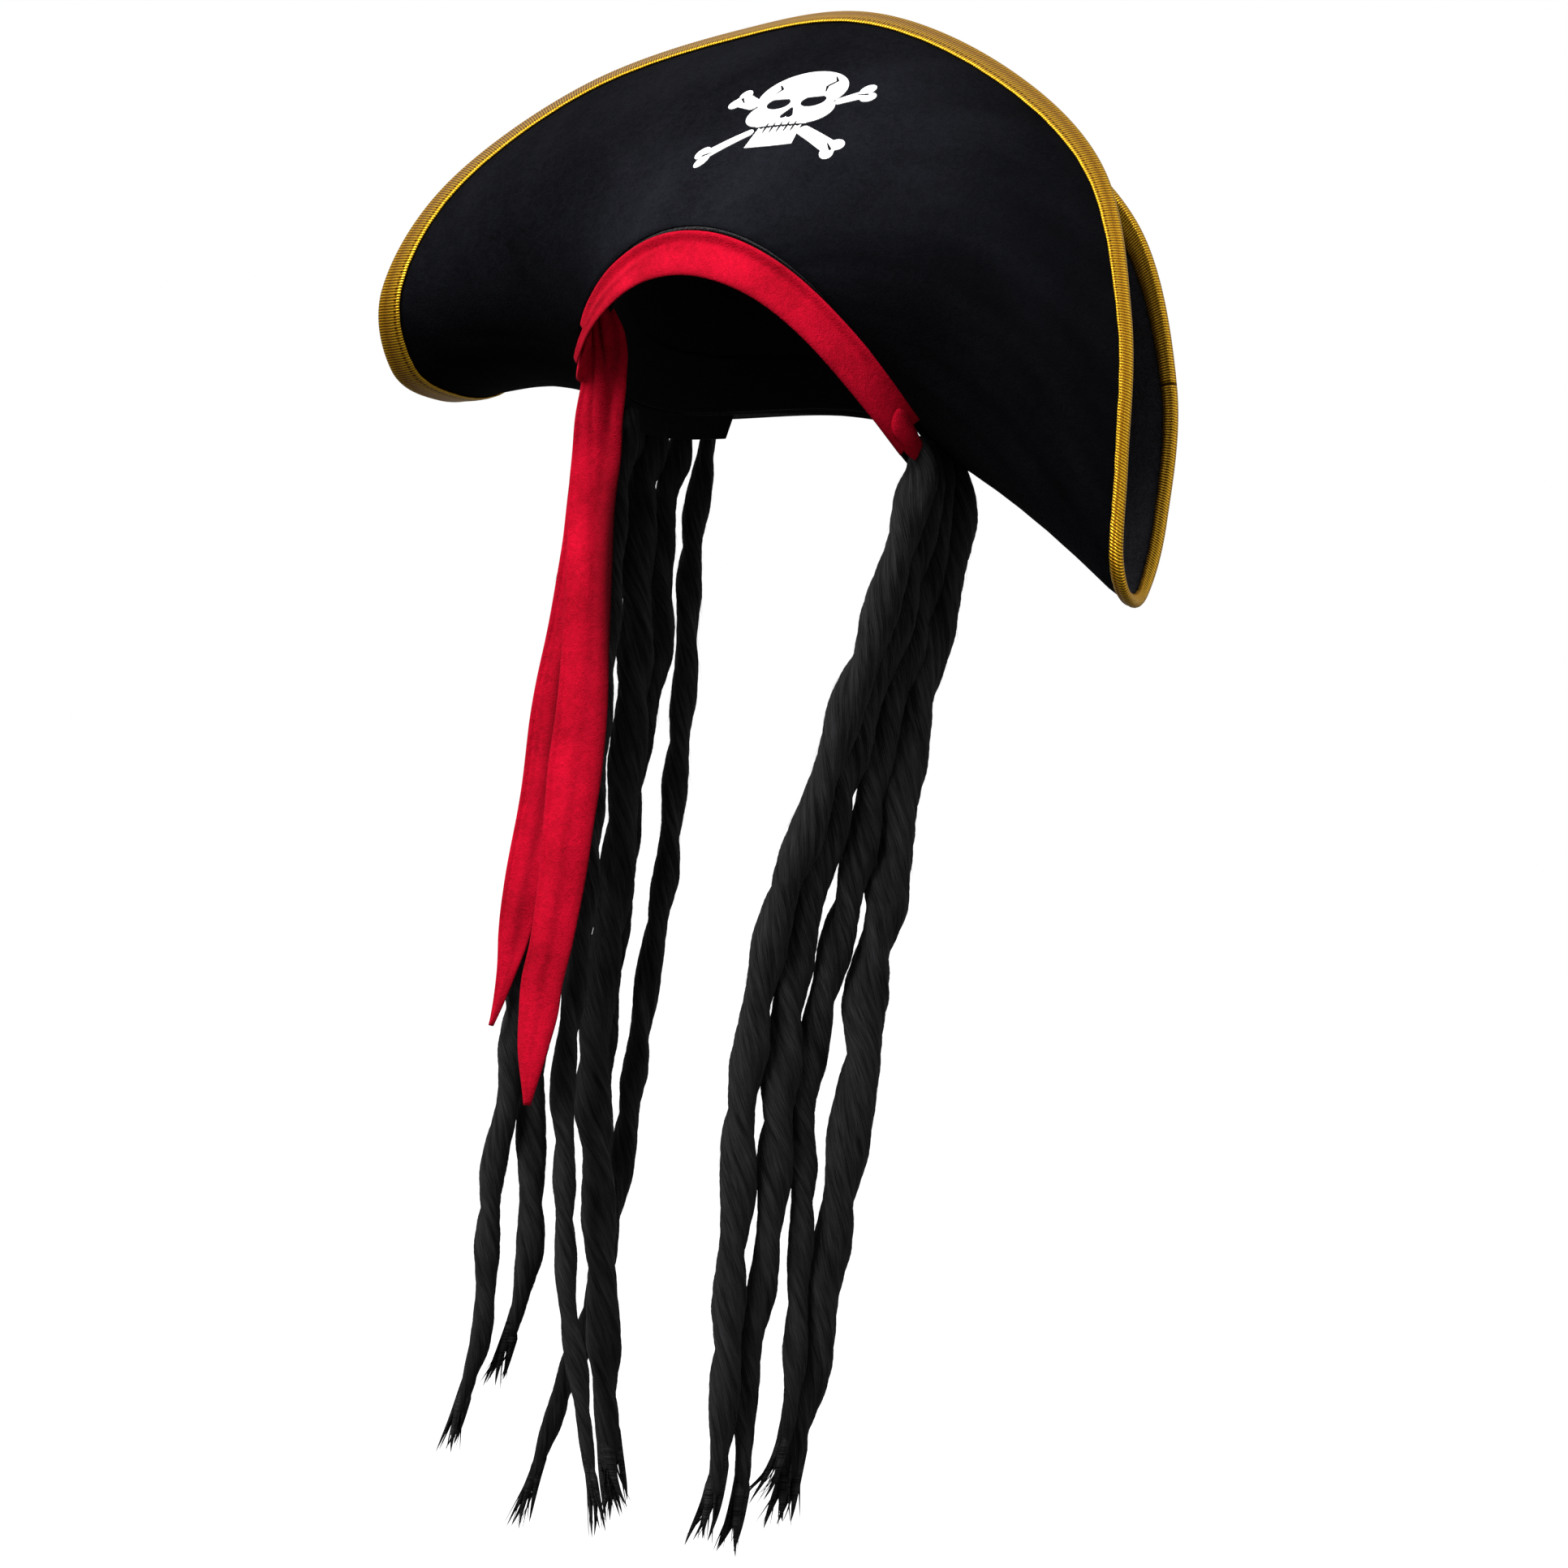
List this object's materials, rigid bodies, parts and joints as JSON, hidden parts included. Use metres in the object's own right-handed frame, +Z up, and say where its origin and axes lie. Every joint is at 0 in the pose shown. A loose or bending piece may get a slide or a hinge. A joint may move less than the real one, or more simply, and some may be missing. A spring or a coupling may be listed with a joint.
{
  "type": "pirate hat",
  "caption": "Black velour pirate hat with turned-up flaps, gold edge binding, skull and crossed bones print, red bandana with tails and twisted plush locks.",
  "frame": {"origin": "centre of the head opening, at the height of its front and back edges' middle", "axes": "+Z up as worn, -Y the front of the hat, +X the wearer's left side"},
  "size_m": [0.4178, 0.2061, 0.7745],
  "materials": {
    "velour": "black velour",
    "foam": "thin stiff foam",
    "gold": "woven gold lame",
    "lining": "plain black cloth",
    "velvet": "red velvet",
    "print": "white print",
    "plush": "twisted plush fibre"
  },
  "bodies": {
    "hat": {"brim_outer_velour": "velour", "brim_inner_velour": "velour", "crown_left_panel": "velour", "crown_right_panel": "velour", "front_brim_foam": "foam", "rear_brim_foam": "foam", "gold_binding": "gold", "crown_lining": "lining", "sweatband": "lining", "bandana_band": "velvet", "bandana_right_end": "velvet", "bandana_left_fold": "velvet", "skull_print": "print", "jaw_print": "print", "bone_print_1": "print", "bone_print_2": "print", "bone_print_3": "print", "bone_print_4": "print"},
    "front_tail": {"front_tail": "velvet"},
    "rear_tail": {"rear_tail": "velvet"},
    "right_hair": {"right_weft_tape": "lining", "right_lock_a": "plush", "right_lock_b": "plush", "right_lock_c": "plush", "right_lock_d": "plush"},
    "left_hair": {"left_weft_tape": "lining", "left_lock_e": "plush", "left_lock_f": "plush", "left_lock_g": "plush", "left_lock_h": "plush", "left_lock_i": "plush", "left_lock_k": "plush"}
  },
  "joints": [
    {"name": "front_tail_swing", "type": "hinge", "parent": "hat", "child": "front_tail", "pos_m": [-0.084, -0.032, -0.052], "axis": [0, 1, 0], "range_deg": [0, 20]},
    {"name": "rear_tail_swing", "type": "hinge", "parent": "hat", "child": "rear_tail", "pos_m": [-0.0923, -0.02, -0.05], "axis": [0, 1, 0], "range_deg": [0, 20]},
    {"name": "right_hair_swing", "type": "hinge", "parent": "hat", "child": "right_hair", "pos_m": [0.083, 0, -0.06], "axis": [0, -1, 0], "range_deg": [0, 20]},
    {"name": "left_hair_swing", "type": "hinge", "parent": "hat", "child": "left_hair", "pos_m": [-0.0743, 0, -0.05], "axis": [0, 1, 0], "range_deg": [0, 20]}
  ]
}
